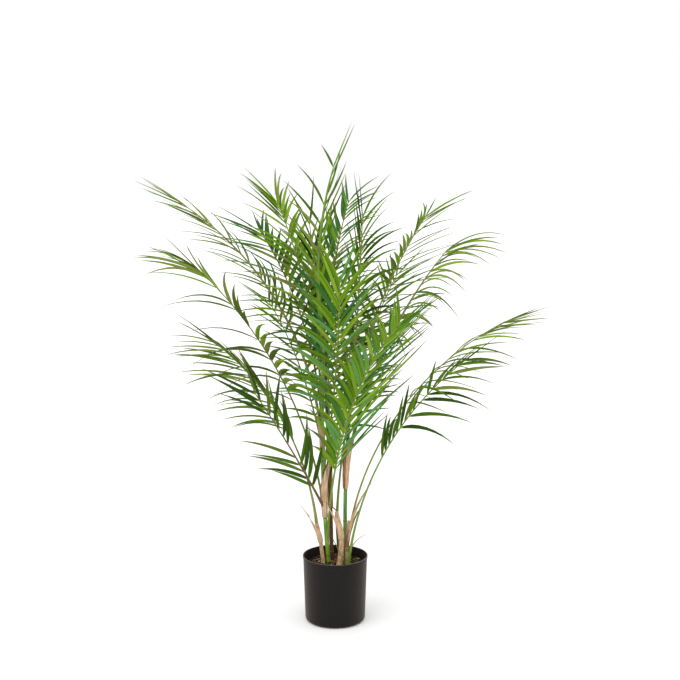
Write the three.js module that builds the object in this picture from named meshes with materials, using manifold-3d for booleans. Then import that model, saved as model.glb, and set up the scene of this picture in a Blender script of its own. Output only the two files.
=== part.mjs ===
// An artificial areca palm about 1.1 m tall in a plain black pot.
// Millimetres, +Z up, X to the right and Y to the back as seen from the front.
// The origin is on the floor, under the middle of the pot.
import * as THREE from "three";
import { mergeVertices } from "three/addons/utils/BufferGeometryUtils.js";
import Module from "manifold-3d";

const wasm = await Module();
wasm.setup();

// The pot and what fills it.
const POT_HEIGHT = 149;
const RIM_RADIUS = 72.6;
const LIP_HEIGHT = 5;
const BODY_TOP_RADIUS = 71.6;
const BODY_FOOT_RADIUS = 67.3;
const POT_WALL = 2.2;
const POT_FLOOR = 4;
const POT_FOOT_ROUND = 9;
const POT_SIDES = 32;
const FILL_TOP = 128;
const CLEAR = 0.3; // the gap that neighbouring pieces keep

// The ribs of the fronds and the leaflets on them.
const PETIOLE_RADIUS = 3;
const RIB_TIP_RADIUS = 1.1;
const PETIOLE_STEPS = 4;
const ROOT_LENGTH = 4.5; // of a leaflet along its rib
const BLADE_SHARE = 0.062; // the lowest leaflets' width as a share of the frond's longest leaflet
const BLADE_TIP_SHARE = 0.045; // and the highest leaflets'
const FOLD_SHARE = 0.28; // the depth of a leaflet's fold as a share of its width
const WIDEST_AT = 0.3; // where along its length a leaflet is widest
const NARROWING_AT = 0.68; // where it has narrowed again
const NARROWED_SHARE = 0.62; // and to what share of its width
const SPREAD = [58, 21]; // degrees between rib and leaflet at the lowest pair and at the tip
const WOBBLE_SPREAD = 5;
const WOBBLE_LIFT = 13;
const WOBBLE_LENGTH = 0.12;

// Canes and stubs stand in the fill. foot is x and y, and lean is in degrees from upright at the
// foot and the top.
const CANES = {
  left_cane: { foot: [-15, 10], heading: 180, lean: [5, -3], length: 500, radii: [4.8, 4] },
  right_cane: { foot: [24, 13], heading: 0, lean: [-2, 6], length: 405, radii: [4.6, 3.8] },
  rear_cane: { foot: [-8, 31], heading: 160, lean: [1, 3], length: 410, radii: [4.8, 3.8] },
  rear_stub: { foot: [10, 44], heading: 180, lean: [6, 2], length: 100, radii: [3.8, 3.4] },
  left_stub: { foot: [-27, 4], heading: 185, lean: [4, 14], length: 100, radii: [4.8, 3.8] },
  middle_stub: { foot: [9, -13], heading: 0, lean: [11, -17], length: 125, radii: [6.4, 4] },
  right_stub: { foot: [26, -2], heading: 350, lean: [-2, 8], length: 100, radii: [4, 3.4] },
};
const CANE_SIDES = 8;
const CANE_STEPS = 4;
const ROOT_FLARE = 1.12; // the foot's swelling
const FLARE_SHARE = 0.06; // of the cane's length

// Dry leaf bases wrap a cane from one height to another and end in a point on the side they face.
const SHEATHS = {
  left_lower_sheath: { cane: "left_cane", from: 0.21, to: 0.43, mouth: 8.6, faces: 340, point: 26 },
  left_upper_sheath: { cane: "left_cane", from: 0.5, to: 0.64, mouth: 6.4, faces: 200, point: 16 },
  right_lower_sheath: { cane: "right_cane", from: 0.42, to: 0.65, mouth: 7.6, faces: 320, point: 22 },
  rear_sheath: { cane: "rear_cane", from: 0.3, to: 0.55, mouth: 7, faces: 80, point: 20 },
  left_stub_sheath: { cane: "left_stub", from: 0.5, to: 0.9, mouth: 6.4, faces: 188, point: 34 },
  middle_stub_sheath: { cane: "middle_stub", from: 0.5, to: 0.88, mouth: 6.4, faces: 200, point: 32 },
  right_stub_sheath: { cane: "right_stub", from: 0.4, to: 0.9, mouth: 5.8, faces: 10, point: 38 },
};
const SHEATH_WALL = 1.2;
const SHEATH_SIDES = 8;
const SHEATH_STEPS = 2;

// Each frond's rib is one arc in an upright plane. It leaves its cane at a share of the cane's
// height, or stands in the fill. heading is its compass direction (0 to the right, 90 to the back),
// lean is in degrees from upright at the start and the tip, bare is the share of the rib without
// leaflets, leaf is its longest leaflet, gap is the distance between pairs, lift is the angle by
// which leaflets rise out of the frond's plane, droop is how far they sag for their length and
// turn rolls the blade about the rib. A frond with a spread of its own has it in place of SPREAD.
const FRONDS = {
  frond_top: {
    cane: "left_cane", at: 0.99, heading: 15, lean: [-10, 17], length: 400, turn: 20,
    bare: 0.25, leaf: 130, gap: 21, lift: 0, droop: 0.02,
  },
  frond_upper_right: {
    cane: "rear_cane", at: 0.95, heading: 72, lean: [-2, 46], length: 460, turn: 0,
    bare: 0.25, leaf: 135, gap: 18, lift: 0, droop: 0.05,
  },
  frond_right_upright: {
    cane: "right_cane", at: 0.97, heading: 40, lean: [6, 3], length: 385, turn: 0,
    bare: 0.22, leaf: 145, gap: 19, lift: -15, droop: 0.05,
  },
  frond_upper_left: {
    cane: "left_cane", at: 0.84, heading: 120, lean: [4, 16], length: 350, turn: 0,
    bare: 0.25, leaf: 135, gap: 19, lift: 0, droop: 0.05,
  },
  frond_left_high: {
    cane: "left_cane", at: 0.7, heading: 135, lean: [3, 32], length: 480, turn: 0,
    bare: 0.32, leaf: 160, gap: 19, lift: -18, droop: 0.05,
  },
  frond_left_shoulder: {
    cane: "left_cane", at: 0.55, heading: 150, lean: [0, 38], length: 500, turn: 0,
    bare: 0.32, leaf: 165, gap: 20, lift: -20, droop: 0.08,
  },
  frond_left_long: {
    cane: "left_cane", at: 0.46, heading: 167, lean: [0, 60], length: 700, turn: -20,
    bare: 0.45, leaf: 140, gap: 21, lift: -8, droop: 0.04,
  },
  frond_left_arching: {
    cane: "left_cane", at: 0.14, heading: 190, lean: [4, 45], length: 660, turn: 42,
    bare: 0.46, leaf: 185, gap: 20, lift: -28, droop: 0.2,
  },
  frond_left_low: {
    cane: "left_stub", at: 0.95, heading: 200, lean: [7, 50], length: 490, turn: 15,
    bare: 0.38, leaf: 165, gap: 16, lift: -18, droop: 0.12,
  },
  frond_left_front: {
    cane: "left_cane", at: 0.25, heading: 218, lean: [30, 36], length: 345, turn: 35,
    bare: 0.16, leaf: 175, gap: 20, lift: -14, droop: 0.1, spread: [40, 24],
  },
  frond_right_long: {
    cane: "right_stub", at: 0.3, heading: 352, lean: [5, 61], length: 650, turn: 0,
    bare: 0.54, leaf: 145, gap: 20, lift: -28, droop: 0.14,
  },
  frond_right_low: {
    foot: [29, -18], heading: 345, lean: [6, 51], length: 560, turn: -52,
    bare: 0.46, leaf: 145, gap: 20, lift: -38, droop: 0.24,
  },
  frond_right_arching: {
    cane: "right_cane", at: 0.53, heading: 14, lean: [10, 41], length: 545, turn: -20,
    bare: 0.55, leaf: 165, gap: 18, lift: -34, droop: 0.34,
  },
  frond_right_high: {
    cane: "right_cane", at: 0.85, heading: 42, lean: [14, 44], length: 490, turn: 0,
    bare: 0.36, leaf: 155, gap: 20, lift: -22, droop: 0.08,
  },
  frond_front: {
    cane: "left_cane", at: 0.07, heading: 301, lean: [3, 53], length: 634, turn: 0,
    bare: 0.29, leaf: 160, gap: 15, lift: 10, droop: 0.12, spread: [46, 24],
  },
  frond_front_upper: {
    cane: "left_cane", at: 0.42, heading: 288, lean: [29, 2], length: 460, turn: 0,
    bare: 0.22, leaf: 165, gap: 16, lift: 10, droop: 0.12,
  },
  frond_back: {
    cane: "rear_cane", at: 0.5, heading: 92, lean: [10, 54], length: 520, turn: 0,
    bare: 0.3, leaf: 150, gap: 20, lift: 0, droop: 0.2,
  },
  frond_back_right: {
    cane: "rear_stub", at: 0.9, heading: 58, lean: [4, 50], length: 620, turn: 0,
    bare: 0.4, leaf: 150, gap: 20, lift: 0, droop: 0.2,
  },
  frond_back_left: {
    cane: "rear_cane", at: 0.3, heading: 122, lean: [10, 56], length: 540, turn: 0,
    bare: 0.34, leaf: 150, gap: 20, lift: 0, droop: 0.2,
  },
  frond_back_high: {
    cane: "rear_cane", at: 0.75, heading: 106, lean: [6, 38], length: 430, turn: 0,
    bare: 0.28, leaf: 140, gap: 20, lift: 0, droop: 0.12,
  },
};

const radians = (degrees) => (degrees * Math.PI) / 180;
const mix = (from, to, share) => from + (to - from) * share;

// A repeatable number from -1 to 1 for any seeds.
function wobble(...seeds) {
  const mixed = seeds.reduce((sum, seed, place) => sum + seed * (12.9898 + 65.177 * place), 0.5);
  const fraction = Math.sin(mixed) * 43758.5453;
  return 2 * (fraction - Math.floor(fraction)) - 1;
}

// A surface that grows from loop to loop. Loops are lists of corner numbers, counterclockwise
// seen from the end that the surface grows towards, and a corner may stand in a loop twice.
class Skin {
  corners = [];
  faces = [];

  add(points) {
    const first = this.corners.length;
    this.corners.push(...points);
    return points.map((_, place) => first + place);
  }

  face(a, b, c) {
    if (a !== b && b !== c && c !== a) this.faces.push(a, b, c);
  }

  bridge(lower, upper) {
    lower.forEach((corner, place) => {
      const next = (place + 1) % lower.length;
      this.face(corner, lower[next], upper[place]);
      this.face(lower[next], upper[next], upper[place]);
    });
  }

  close(loop) {
    for (let place = 1; place + 1 < loop.length; place += 1) {
      this.face(loop[0], loop[place], loop[place + 1]);
    }
  }

  geometry() {
    const geometry = new THREE.BufferGeometry();
    geometry.setFromPoints(this.corners);
    geometry.setIndex(this.faces);
    return geometry;
  }
}

// A closed skin over rings of equally many points, with a point in place of the last ring for a tip.
function limb(rings) {
  const skin = new Skin();
  const loops = rings.map((ring) => skin.add(ring));
  const tip = loops.at(-1);
  if (tip.length === 1) loops[loops.length - 1] = loops[0].map(() => tip[0]);
  skin.close([...loops[0]].reverse());
  for (let row = 0; row + 1 < loops.length; row += 1) skin.bridge(loops[row], loops[row + 1]);
  if (tip.length > 1) skin.close(tip);
  return skin.geometry();
}

function toSolid(geometry) {
  const bare = geometry.clone();
  bare.deleteAttribute("normal");
  bare.deleteAttribute("uv");
  const merged = mergeVertices(bare, 1e-4);
  const vertProperties = new Float32Array(merged.attributes.position.array);
  const triVerts = new Uint32Array(merged.index.array);
  return new wasm.Manifold(new wasm.Mesh({ numProp: 3, vertProperties, triVerts }));
}

function largestPiece(solid) {
  return solid.decompose().sort((a, b) => b.volume() - a.volume())[0];
}

function toGeometry(solid) {
  const mesh = solid.getMesh();
  const positions = new Float32Array(mesh.numVert * 3);
  for (let vertex = 0; vertex < mesh.numVert; vertex += 1) {
    const start = vertex * mesh.numProp;
    positions.set(mesh.vertProperties.subarray(start, start + 3), vertex * 3);
  }
  const geometry = new THREE.BufferGeometry();
  geometry.setAttribute("position", new THREE.BufferAttribute(positions, 3));
  geometry.setIndex(new THREE.BufferAttribute(new Uint32Array(mesh.triVerts), 1));
  return geometry;
}

// The place and directions of an arc at a share of its length: along the limb, across it level
// with the ground, and up out of a frond's upper face.
function arcAt({ start, heading, lean, length, turn = 0 }, share) {
  const [first, last] = lean.map(radians);
  const bend = last - first;
  const angle = first + bend * share;
  const outward = (length * (Math.cos(first) - Math.cos(angle))) / bend;
  const rise = (length * (Math.sin(angle) - Math.sin(first))) / bend;
  const ahead = new THREE.Vector3(Math.cos(radians(heading)), Math.sin(radians(heading)), 0);
  const sky = new THREE.Vector3(0, 0, 1);
  const place = start.clone().addScaledVector(ahead, outward).addScaledVector(sky, rise);
  const along = ahead.clone().multiplyScalar(Math.sin(angle)).addScaledVector(sky, Math.cos(angle));
  const across = sky.clone().cross(ahead).applyAxisAngle(along, radians(turn));
  const up = along.clone().cross(across);
  return { place, along, across, up };
}

// Points round a limb, starting from the angle given in degrees and turning from across to up.
function ringAt({ place, across, up }, radius, sides, firstCorner = -90) {
  return Array.from({ length: sides }, (_, side) => {
    const angle = (2 * Math.PI * side) / sides + radians(firstCorner);
    const offset = across.clone().multiplyScalar(Math.cos(angle)).addScaledVector(up, Math.sin(angle));
    return place.clone().addScaledVector(offset, radius);
  });
}

function caneArc(name) {
  const { foot, heading, lean, length } = CANES[name];
  return { start: new THREE.Vector3(...foot, FILL_TOP + CLEAR), heading, lean, length };
}

function caneRadius(name, share) {
  const [foot, top] = CANES[name].radii;
  const flare = 1 + (ROOT_FLARE - 1) * Math.max(0, 1 - share / FLARE_SHARE);
  return mix(foot, top, share) * flare;
}

// The first ring of whatever stands in the fill is cut level with it.
function levelled(ring) {
  return ring.map((corner) => corner.setZ(FILL_TOP + CLEAR));
}

function cane(name, extra = 0) {
  const rings = [];
  for (let step = 0; step <= CANE_STEPS; step += 1) {
    const share = step / CANE_STEPS;
    const ring = ringAt(arcAt(caneArc(name), share), caneRadius(name, share) + extra, CANE_SIDES);
    rings.push(step === 0 ? levelled(ring) : ring);
  }
  return limb(rings);
}

// Rings of a sleeve round the cane whose mouth flares and runs out in a point on one side.
function sheathRings({ cane: name, from, to, mouth, faces, point }, wall) {
  const arc = caneArc(name);
  const facing = new THREE.Vector3(Math.cos(radians(faces)), Math.sin(radians(faces)), 0);
  return Array.from({ length: SHEATH_STEPS + 1 }, (_, step) => {
    const rise = step / SHEATH_STEPS;
    const frame = arcAt(arc, mix(from, to, rise));
    const bore = mix(caneRadius(name, from) + CLEAR, mouth - SHEATH_WALL, rise ** 2) + 0.4;
    return ringAt(frame, bore + wall, SHEATH_SIDES).map((corner) => {
      const offset = corner.clone().sub(frame.place).normalize();
      const drawnOut = Math.max(0, offset.dot(facing)) ** 3 * rise ** 3 * point;
      return corner.addScaledVector(frame.along, drawnOut).addScaledVector(facing, 0.35 * drawnOut);
    });
  });
}

function sheath(setting) {
  const skin = new Skin();
  const rings = [...sheathRings(setting, SHEATH_WALL), ...sheathRings(setting, 0).reverse()];
  const loops = rings.map((ring) => skin.add(ring));
  loops.forEach((loop, row) => skin.bridge(loop, loops[(row + 1) % loops.length]));
  return skin.geometry();
}

function frondArc({ cane: name, foot, at, heading, lean, length, turn }) {
  const start = foot ? new THREE.Vector3(...foot, FILL_TOP + CLEAR) : arcAt(caneArc(name), at).place;
  return { start, heading, lean, length, turn };
}

// A rib is three-sided, and one of its corners points away from the way its leaflets go.
function ribRing(frond, arc, share) {
  const radius = mix(PETIOLE_RADIUS, RIB_TIP_RADIUS, share ** 0.8);
  const ring = ringAt(arcAt(arc, share), radius, 3, frond.lift > 0 ? 90 : -90);
  return frond.foot && share === 0 ? levelled(ring) : ring;
}

// The corners of the rib's side faces as [low, high], for the right and left side.
function sideCorners(frond) {
  return frond.lift > 0 ? { 1: [2, 0], [-1]: [1, 0] } : { 1: [0, 1], [-1]: [0, 2] };
}

// Where the pairs of leaflets sit, as shares of the rib and of the leafy stretch.
function stations(frond) {
  const pairs = Math.round((frond.length * (1 - frond.bare)) / frond.gap);
  const half = ROOT_LENGTH / frond.length / 2;
  return Array.from({ length: pairs }, (_, pair) => {
    const rise = (pair + 0.5) / pairs;
    const share = mix(frond.bare, 1, rise);
    return { pair, rise, from: share - half, share, to: share + half };
  });
}

// The sections of one folded leaflet as [low, back, front] corners and its tip.
function leafletShape(frond, arc, seed, { pair, rise, share }, side, reach, tilt, extra) {
  const { place, along, across, up } = arcAt(arc, share);
  const own = (number) => wobble(seed, pair, side, number);
  const [low, high] = frond.spread ?? SPREAD;
  const spread = radians(mix(low, high, rise) + WOBBLE_SPREAD * own(1));
  const lift = radians(frond.lift + tilt + WOBBLE_LIFT * own(2));
  const outward = across.clone().multiplyScalar(side * Math.cos(lift));
  outward.addScaledVector(up, Math.sin(lift));
  const aim = along.clone().multiplyScalar(Math.cos(spread)).addScaledVector(outward, Math.sin(spread));
  const profile = 0.78 + 0.22 * Math.sin(Math.PI * Math.min(1, 0.15 + 0.95 * rise));
  const length = reach * frond.leaf * profile * (1 + WOBBLE_LENGTH * own(3));
  const sag = frond.droop * length * (1 + 0.5 * own(4));
  const pointAt = (t) => {
    const straight = place.clone().addScaledVector(aim, length * t);
    return straight.setZ(straight.z - sag * t * t);
  };
  const wide = along.clone().addScaledVector(aim, -along.dot(aim)).normalize();
  const below = aim.clone().cross(wide).multiplyScalar(side);
  const width = mix(BLADE_SHARE, BLADE_TIP_SHARE, rise) * frond.leaf;
  const section = (t, size) => {
    const middle = pointAt(t).addScaledVector(below, -extra);
    const half = (size * width) / 2 + extra;
    return [
      middle.clone().addScaledVector(below, size * FOLD_SHARE * width + 2 * extra),
      middle.clone().addScaledVector(wide, -half),
      middle.clone().addScaledVector(wide, half),
    ];
  };
  const sections = [section(WIDEST_AT, 1), section(NARROWING_AT, NARROWED_SHARE)];
  return { sections, tip: pointAt(1 + extra / length) };
}

// Grows a leaflet on a skin from its root, the loop [low, high, high, low] on the rib's side.
function growLeaflet(skin, root, side, { sections, tip }) {
  const turned = (loop) => (side > 0 ? loop : [loop[1], loop[0], loop[3], loop[2]]);
  let loop = root;
  for (const points of sections) {
    const [low, back, front] = skin.add(points);
    const next = [low, back, front, low];
    skin.bridge(turned(loop), turned(next));
    loop = next;
  }
  const [end] = skin.add([tip]);
  skin.bridge(turned(loop), [end, end, end, end]);
}

const rootPoints = ([from, to], [low, high]) => [from[low], from[high], to[high], to[low]];

function leafletSolid(frond, arc, station, side, shape) {
  const skin = new Skin();
  const rings = [ribRing(frond, arc, station.from), ribRing(frond, arc, station.to)];
  const root = skin.add(rootPoints(rings, sideCorners(frond)[side]));
  const turned = side > 0 ? root : [root[1], root[0], root[3], root[2]];
  skin.close([...turned].reverse());
  growLeaflet(skin, root, side, shape);
  return toSolid(skin.geometry());
}

// The whole frond as one skin: the rib, and a leaflet where its side face would be.
function frondGeometry(frond, arc, leaflets) {
  const skin = new Skin();
  const petiole = Array.from({ length: PETIOLE_STEPS }, (_, step) => step / PETIOLE_STEPS);
  const leafy = stations(frond).flatMap(({ from, to }) => [from, to]);
  const shares = [...petiole.map((share) => share * frond.bare), ...leafy];
  const loops = shares.map((share) => skin.add(ribRing(frond, arc, share)));
  const [tip] = skin.add([arcAt(arc, 1).place]);
  skin.close([...loops[0]].reverse());
  loops.push([tip, tip, tip]);
  const corners = sideCorners(frond);
  for (let row = 0; row + 1 < loops.length; row += 1) {
    const [lower, upper] = [loops[row], loops[row + 1]];
    const pair = (row - PETIOLE_STEPS) / 2;
    for (const first of [0, 1, 2]) {
      const second = (first + 1) % 3;
      const side = [1, -1].find((way) => corners[way].includes(first) && corners[way].includes(second));
      const shape = leaflets[`${pair} ${side}`];
      const [low, high] = shape ? corners[side] : [];
      if (shape) {
        growLeaflet(skin, [lower[low], lower[high], upper[high], upper[low]], side, shape);
      } else {
        skin.face(lower[first], lower[second], upper[first]);
        skin.face(lower[second], upper[second], upper[first]);
      }
    }
  }
  return skin.geometry();
}

// Everything that a new leaflet has to stay clear of. It may meet only its own rib.
const taken = [];
const take = (name, solid) => taken.push({ name, solid, box: solid.boundingBox() });
const isBefore = (a, b) => [0, 1, 2].some((axis) => a.max[axis] < b.min[axis]);
const boxesMeet = (a, b) => !isBefore(a, b) && !isBefore(b, a);

function isFree(ownRib, solid) {
  const box = solid.boundingBox();
  const near = taken.filter((other) => other.name !== ownRib && boxesMeet(box, other.box));
  return near.every((other) => solid.intersect(other.solid).isEmpty());
}

// A leaflet that would touch a neighbour is lifted or lowered by degrees, then shortened to a share
// of its length, then left out.
const TRIES = [
  [1, 0], [1, 14], [1, -14], [1, 26], [1, -26],
  [0.8, 0], [0.8, 20], [0.8, -20], [0.6, 0], [0.6, 20],
];
const LEAFLET_CLEARANCE = 0.4;

function placeLeaflets(name, frond, arc, seed) {
  const placed = {};
  for (const station of stations(frond)) {
    for (const side of [-1, 1]) {
      for (const [reach, tilt] of TRIES) {
        const roomy = leafletShape(frond, arc, seed, station, side, reach, tilt, LEAFLET_CLEARANCE);
        if (!isFree(name, leafletSolid(frond, arc, station, side, roomy))) continue;
        const shape = leafletShape(frond, arc, seed, station, side, reach, tilt, 0);
        take("leaflet", leafletSolid(frond, arc, station, side, shape));
        placed[`${station.pair} ${side}`] = shape;
        break;
      }
    }
  }
  return placed;
}

// A turned piece whose axis, which LatheGeometry lays along Y, stands up along Z.
function lathed(profile) {
  const points = profile.map(([radius, height]) => new THREE.Vector2(radius, height));
  return new THREE.LatheGeometry(points, POT_SIDES).rotateX(Math.PI / 2);
}

const insideRadius = (z) => mix(BODY_FOOT_RADIUS, BODY_TOP_RADIUS, z / POT_HEIGHT) - POT_WALL;

function potGeometry() {
  const foot = [0, 45, 90].map((degrees) => {
    const angle = radians(degrees);
    const radius = BODY_FOOT_RADIUS - POT_FOOT_ROUND * (1 - Math.sin(angle));
    return [radius, POT_FOOT_ROUND * (1 - Math.cos(angle))];
  });
  return lathed([
    [0, 0],
    ...foot,
    [BODY_TOP_RADIUS, POT_HEIGHT - LIP_HEIGHT],
    [RIM_RADIUS, POT_HEIGHT - LIP_HEIGHT + 1],
    [RIM_RADIUS, POT_HEIGHT - 1],
    [RIM_RADIUS - 1, POT_HEIGHT],
    [insideRadius(POT_HEIGHT), POT_HEIGHT],
    [insideRadius(POT_FOOT_ROUND), POT_FOOT_ROUND],
    [insideRadius(POT_FLOOR) - POT_FLOOR, POT_FLOOR],
    [0, POT_FLOOR],
  ]);
}

function fillGeometry() {
  const low = POT_FLOOR + CLEAR;
  const bend = POT_FOOT_ROUND + 1;
  return lathed([
    [0, low],
    [insideRadius(low) - POT_FLOOR - CLEAR, low],
    [insideRadius(bend) - CLEAR, bend],
    [insideRadius(FILL_TOP) - CLEAR, FILL_TOP],
    [0, FILL_TOP],
  ]);
}

const FINISHES = {
  pot: { color: 0x1c1b1b, roughness: 0.55 },
  fill: { color: 0x3a2a1e, roughness: 0.95 },
  cane: { color: 0x5c7a2c, roughness: 0.6 },
  dry: { color: 0xb98a5e, roughness: 0.9 },
  frond: { color: 0x4b8a22, roughness: 0.55 },
};

const palm = new THREE.Group();

function addPiece(name, geometry, finish) {
  const material = new THREE.MeshStandardMaterial({ ...FINISHES[finish], metalness: 0 });
  const mesh = new THREE.Mesh(geometry, material);
  mesh.name = name;
  palm.add(mesh);
}

addPiece("pot", potGeometry(), "pot");
addPiece("fill", fillGeometry(), "fill");

// Canes and sheaths with the gap round them, which the ribs are cut to.
const room = [];
for (const name of Object.keys(CANES)) {
  const geometry = cane(name);
  take(name, toSolid(geometry));
  room.push(toSolid(cane(name, CLEAR)));
  addPiece(name, geometry, name.endsWith("stub") ? "dry" : "cane");
}
for (const [name, setting] of Object.entries(SHEATHS)) {
  const geometry = sheath(setting);
  take(name, toSolid(geometry));
  room.push(toSolid(limb(sheathRings(setting, SHEATH_WALL + CLEAR))));
  addPiece(name, geometry, "dry");
}
const allRoom = wasm.Manifold.union(room);

const arcs = {};
for (const [name, frond] of Object.entries(FRONDS)) {
  arcs[name] = frondArc(frond);
  take(name, toSolid(frondGeometry(frond, arcs[name], {})).subtract(allRoom));
}
Object.entries(FRONDS).forEach(([name, frond], seed) => {
  const leaflets = placeLeaflets(name, frond, arcs[name], seed + 1);
  const whole = toSolid(frondGeometry(frond, arcs[name], leaflets)).subtract(allRoom);
  addPiece(name, toGeometry(largestPiece(whole)), "frond");
});

export default palm;
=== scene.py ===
"""An artificial areca palm in a plain black pot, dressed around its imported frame."""
import math

import bmesh
import bpy
import numpy as np
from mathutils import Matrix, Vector, noise


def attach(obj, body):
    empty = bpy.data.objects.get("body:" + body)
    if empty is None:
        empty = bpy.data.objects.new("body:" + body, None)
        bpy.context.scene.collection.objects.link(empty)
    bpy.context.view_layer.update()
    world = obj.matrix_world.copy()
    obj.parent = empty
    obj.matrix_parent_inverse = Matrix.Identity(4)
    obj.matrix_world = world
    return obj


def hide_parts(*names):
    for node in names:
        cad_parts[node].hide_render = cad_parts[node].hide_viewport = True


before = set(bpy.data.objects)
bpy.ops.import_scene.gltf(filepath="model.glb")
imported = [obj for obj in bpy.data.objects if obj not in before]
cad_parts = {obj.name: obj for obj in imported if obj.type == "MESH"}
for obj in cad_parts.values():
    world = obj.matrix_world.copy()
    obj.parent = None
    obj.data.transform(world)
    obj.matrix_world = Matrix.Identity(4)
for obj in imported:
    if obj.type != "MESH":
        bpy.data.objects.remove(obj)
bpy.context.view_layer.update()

# Sizes in metres, as in the part's source.
POT_HEIGHT = 0.149
RIM_RADIUS = 0.0726
LIP_HEIGHT = 0.005
BODY_TOP_RADIUS = 0.0716
BODY_FOOT_RADIUS = 0.0673
POT_WALL = 0.0022
POT_FLOOR = 0.004
POT_FOOT_ROUND = 0.009
FILL_TOP = 0.128
CLEAR = 0.0003

PETIOLE_RADIUS = 0.003
RIB_TIP_RADIUS = 0.0011
BLADE_SHARE = 0.062
BLADE_TIP_SHARE = 0.045
FOLD_SHARE = 0.28
WIDEST_AT = 0.3
SPREAD = (58, 21)
WOBBLE_SPREAD = 5
WOBBLE_LIFT = 13
WOBBLE_LENGTH = 0.12

ROOT_FLARE = 1.12
FLARE_SHARE = 0.06
SHEATH_WALL = 0.0012

CANES = {
    "left_cane": dict(foot=(-0.015, 0.010), heading=180, lean=(5, -3), length=0.500, radii=(0.0048, 0.004)),
    "right_cane": dict(foot=(0.024, 0.013), heading=0, lean=(-2, 6), length=0.405, radii=(0.0046, 0.0038)),
    "rear_cane": dict(foot=(-0.008, 0.031), heading=160, lean=(1, 3), length=0.410, radii=(0.0048, 0.0038)),
    "rear_stub": dict(foot=(0.010, 0.044), heading=180, lean=(6, 2), length=0.100, radii=(0.0038, 0.0034)),
    "left_stub": dict(foot=(-0.027, 0.004), heading=185, lean=(4, 14), length=0.100, radii=(0.0048, 0.0038)),
    "middle_stub": dict(foot=(0.009, -0.013), heading=0, lean=(11, -17), length=0.125, radii=(0.0064, 0.004)),
    "right_stub": dict(foot=(0.026, -0.002), heading=350, lean=(-2, 8), length=0.100, radii=(0.004, 0.0034)),
}

SHEATHS = {
    "left_lower_sheath": dict(cane="left_cane", start=0.21, end=0.43, mouth=0.0086, faces=340, point=0.026),
    "left_upper_sheath": dict(cane="left_cane", start=0.5, end=0.64, mouth=0.0064, faces=200, point=0.016),
    "right_lower_sheath": dict(cane="right_cane", start=0.42, end=0.65, mouth=0.0076, faces=320, point=0.022),
    "rear_sheath": dict(cane="rear_cane", start=0.3, end=0.55, mouth=0.007, faces=80, point=0.020),
    "left_stub_sheath": dict(cane="left_stub", start=0.5, end=0.9, mouth=0.0064, faces=188, point=0.034),
    "middle_stub_sheath": dict(cane="middle_stub", start=0.5, end=0.88, mouth=0.0064, faces=200, point=0.032),
    "right_stub_sheath": dict(cane="right_stub", start=0.4, end=0.9, mouth=0.0058, faces=10, point=0.038),
}

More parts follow.
